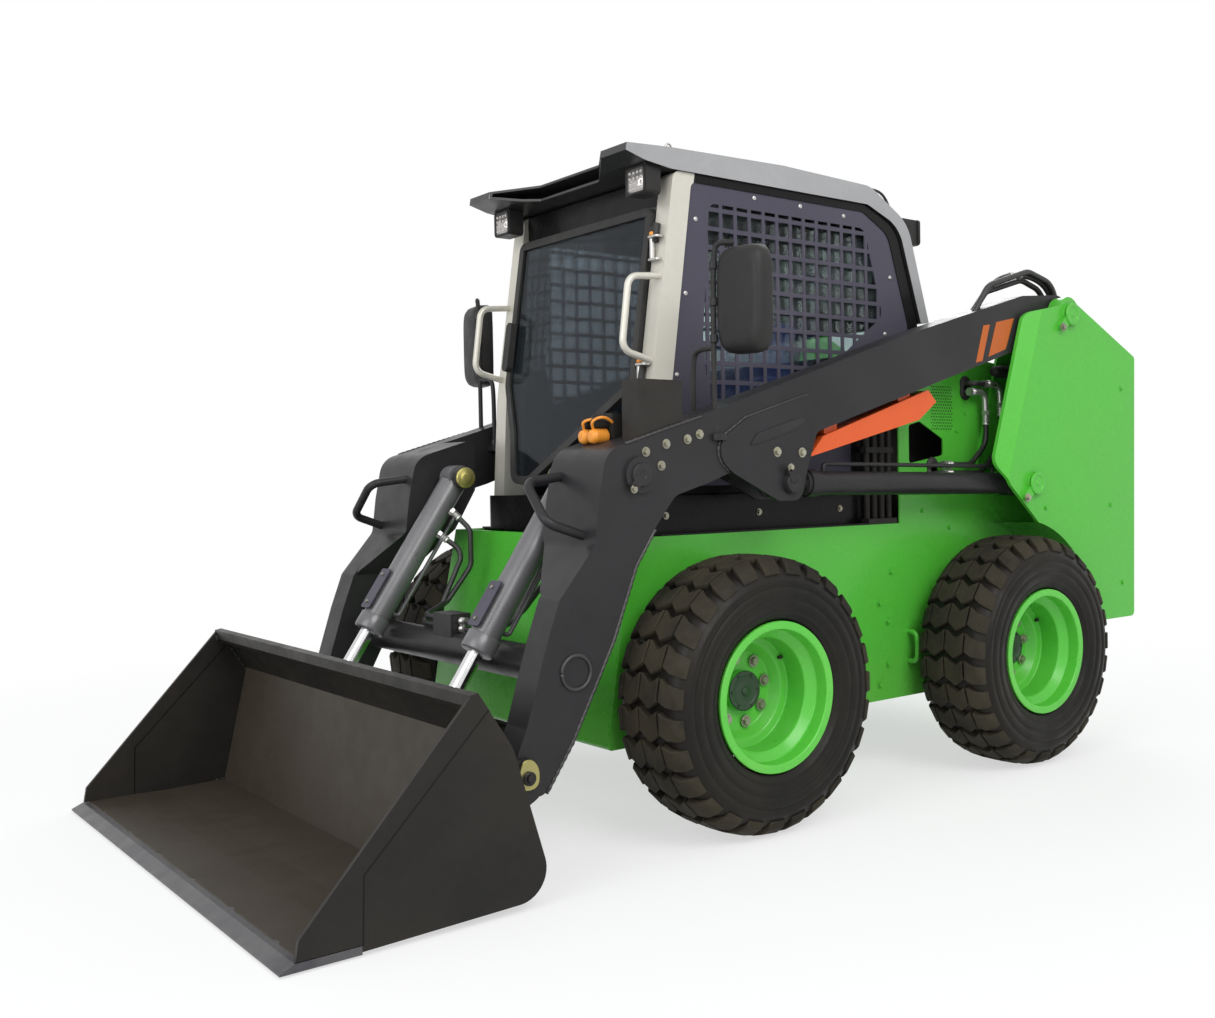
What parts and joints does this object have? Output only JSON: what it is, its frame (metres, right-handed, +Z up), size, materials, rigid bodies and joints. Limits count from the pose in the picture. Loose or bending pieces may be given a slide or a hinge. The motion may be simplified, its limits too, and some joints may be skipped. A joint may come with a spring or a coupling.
{
  "type": "skid steer loader",
  "caption": "Compact skid steer loader with radial lift arms, caged cab with hinged front door, rear door, tilting bucket on a quick coupler and free-turning wheels.",
  "frame": {"origin": "ground level under the middle of the machine's length and width", "axes": "+X ahead towards the bucket, +Y to the operator's left, +Z up"},
  "size_m": [3.59, 1.855, 2.156],
  "materials": {
    "body_green": "gloss",
    "arm_black": "satin",
    "bucket_black": "satin",
    "edge_steel": "satin",
    "post_silver": "satin",
    "roof_grey": "satin",
    "screen_slate": "satin",
    "sill_black": "satin",
    "strut_orange": "gloss",
    "tyre": "matte",
    "rim_green": "gloss",
    "axle_black": "satin",
    "rod_chrome": "polished",
    "glass": "gloss",
    "seat_blue": "matte",
    "seat_plastic": "matte",
    "battery": "matte",
    "lamp": "gloss",
    "tail_red": "gloss",
    "beacon_orange": "gloss",
    "rail_silver": "satin",
    "mirror_black": "matte",
    "block_black": "satin",
    "hose_rubber": "satin"
  },
  "bodies": {
    "chassis": {"chassis_frame": "body_green", "side_panels": "body_green", "tower_left": "body_green", "tower_right": "body_green", "axle_tubes": "axle_black", "battery_pack": "battery", "top_cover": "body_green", "rear_frame": "body_green", "tail_lamps": "tail_red", "cab_frame": "roof_grey", "cab_posts": "post_silver", "cab_roof": "roof_grey", "cab_screens": "screen_slate", "cab_glass": "glass", "cab_floor": "sill_black", "seat_base": "seat_plastic", "seat_cushion": "seat_blue", "control_consoles": "seat_plastic", "work_lamps": "lamp", "beacon": "beacon_orange", "grab_rails": "rail_silver", "side_pipes": "block_black", "lift_hoses": "hose_rubber"},
    "cab_door": {"cab_door_frame": "arm_black", "cab_door_glass": "glass"},
    "rear_door": {"rear_door": "body_green"},
    "arms": {"lift_arm_left": "arm_black", "lift_arm_right": "arm_black", "torsion_tube": "arm_black", "arm_handrails": "arm_black", "arm_support_strut": "strut_orange", "mirrors": "mirror_black", "hydraulic_block": "block_black", "arm_hoses": "hose_rubber", "tilt_hoses": "hose_rubber"},
    "bucket": {"bucket_shell": "bucket_black", "cutting_edge": "edge_steel", "coupler_frame": "arm_black"},
    "front_left_wheel": {"front_left_tyre": "tyre", "front_left_rim": "rim_green"},
    "front_right_wheel": {"front_right_tyre": "tyre", "front_right_rim": "rim_green"},
    "rear_left_wheel": {"rear_left_tyre": "tyre", "rear_left_rim": "rim_green"},
    "rear_right_wheel": {"rear_right_tyre": "tyre", "rear_right_rim": "rim_green"},
    "lift_barrel_left": {"lift_barrel_left": "arm_black"},
    "lift_rod_left": {"lift_rod_left": "rod_chrome"},
    "tilt_barrel_left": {"tilt_barrel_left": "arm_black"},
    "tilt_rod_left": {"tilt_rod_left": "rod_chrome"},
    "lift_barrel_right": {"lift_barrel_right": "arm_black"},
    "lift_rod_right": {"lift_rod_right": "rod_chrome"},
    "tilt_barrel_right": {"tilt_barrel_right": "arm_black"},
    "tilt_rod_right": {"tilt_rod_right": "rod_chrome"}
  },
  "joints": [
    {"name": "front_left_wheel_spin", "type": "hinge", "parent": "chassis", "child": "front_left_wheel", "pos_m": [0.28, 0.7575, 0.42], "axis": [0, 1, 0], "continuous": true},
    {"name": "front_right_wheel_spin", "type": "hinge", "parent": "chassis", "child": "front_right_wheel", "pos_m": [0.28, -0.7575, 0.42], "axis": [0, 1, 0], "continuous": true},
    {"name": "rear_left_wheel_spin", "type": "hinge", "parent": "chassis", "child": "rear_left_wheel", "pos_m": [-1.04, 0.7575, 0.42], "axis": [0, 1, 0], "continuous": true},
    {"name": "rear_right_wheel_spin", "type": "hinge", "parent": "chassis", "child": "rear_right_wheel", "pos_m": [-1.04, -0.7575, 0.42], "axis": [0, 1, 0], "continuous": true},
    {"name": "arm_lift", "type": "hinge", "parent": "chassis", "child": "arms", "pos_m": [-1.35, 0, 1.672], "axis": [0, -1, 0], "range_deg": [0, 61]},
    {"name": "bucket_tilt", "type": "hinge", "parent": "arms", "child": "bucket", "pos_m": [1.055, 0, 0.285], "axis": [0, 1, 0], "range_deg": [-25, 98]},
    {"name": "cab_door_hinge", "type": "hinge", "parent": "chassis", "child": "cab_door", "pos_m": [0.42807, 0.436, 1.3952], "axis": [-0.1449, 0, 0.9894], "range_deg": [0, 78]},
    {"name": "rear_door_hinge", "type": "hinge", "parent": "chassis", "child": "rear_door", "pos_m": [-1.784, -0.444, 1], "axis": [0, 0, 1], "range_deg": [0, 100]},
    {"name": "lift_barrel_left_swing", "type": "hinge", "parent": "chassis", "child": "lift_barrel_left", "pos_m": [-1.12, 0.6725, 1.03], "axis": [0, -1, 0], "range_deg": [0, 60]},
    {"name": "lift_rod_left_slide", "type": "slide", "parent": "lift_barrel_left", "child": "lift_rod_left", "axis": [0.9998, 0, 0.0176], "range_m": [0, 0.688]},
    {"name": "tilt_barrel_left_swing", "type": "hinge", "parent": "arms", "child": "tilt_barrel_left", "pos_m": [0.655, 0.37, 1.084], "axis": [0, 1, 0], "range_deg": [-3, 3]},
    {"name": "tilt_rod_left_slide", "type": "slide", "parent": "tilt_barrel_left", "child": "tilt_rod_left", "axis": [0.553, 0, -0.8332], "range_m": [-0.055, 0.2]},
    {"name": "lift_barrel_right_swing", "type": "hinge", "parent": "chassis", "child": "lift_barrel_right", "pos_m": [-1.12, -0.6725, 1.03], "axis": [0, -1, 0], "range_deg": [0, 60]},
    {"name": "lift_rod_right_slide", "type": "slide", "parent": "lift_barrel_right", "child": "lift_rod_right", "axis": [0.9998, 0, 0.0176], "range_m": [0, 0.688]},
    {"name": "tilt_barrel_right_swing", "type": "hinge", "parent": "arms", "child": "tilt_barrel_right", "pos_m": [0.655, -0.37, 1.084], "axis": [0, 1, 0], "range_deg": [-3, 3]},
    {"name": "tilt_rod_right_slide", "type": "slide", "parent": "tilt_barrel_right", "child": "tilt_rod_right", "axis": [0.553, 0, -0.8332], "range_m": [-0.055, 0.2]}
  ],
  "couplings": [
    {"joint": "lift_barrel_left_swing", "follows": "arm_lift", "ratio": 0.9292},
    {"joint": "lift_rod_left_slide", "follows": "arm_lift", "m_per_rad": 0.64148},
    {"joint": "tilt_barrel_left_swing", "follows": "bucket_tilt", "ratio": 0.004},
    {"joint": "tilt_rod_left_slide", "follows": "bucket_tilt", "m_per_rad": 0.11173},
    {"joint": "lift_barrel_right_swing", "follows": "arm_lift", "ratio": 0.9292},
    {"joint": "lift_rod_right_slide", "follows": "arm_lift", "m_per_rad": 0.64148},
    {"joint": "tilt_barrel_right_swing", "follows": "bucket_tilt", "ratio": 0.004},
    {"joint": "tilt_rod_right_slide", "follows": "bucket_tilt", "m_per_rad": 0.11173}
  ]
}
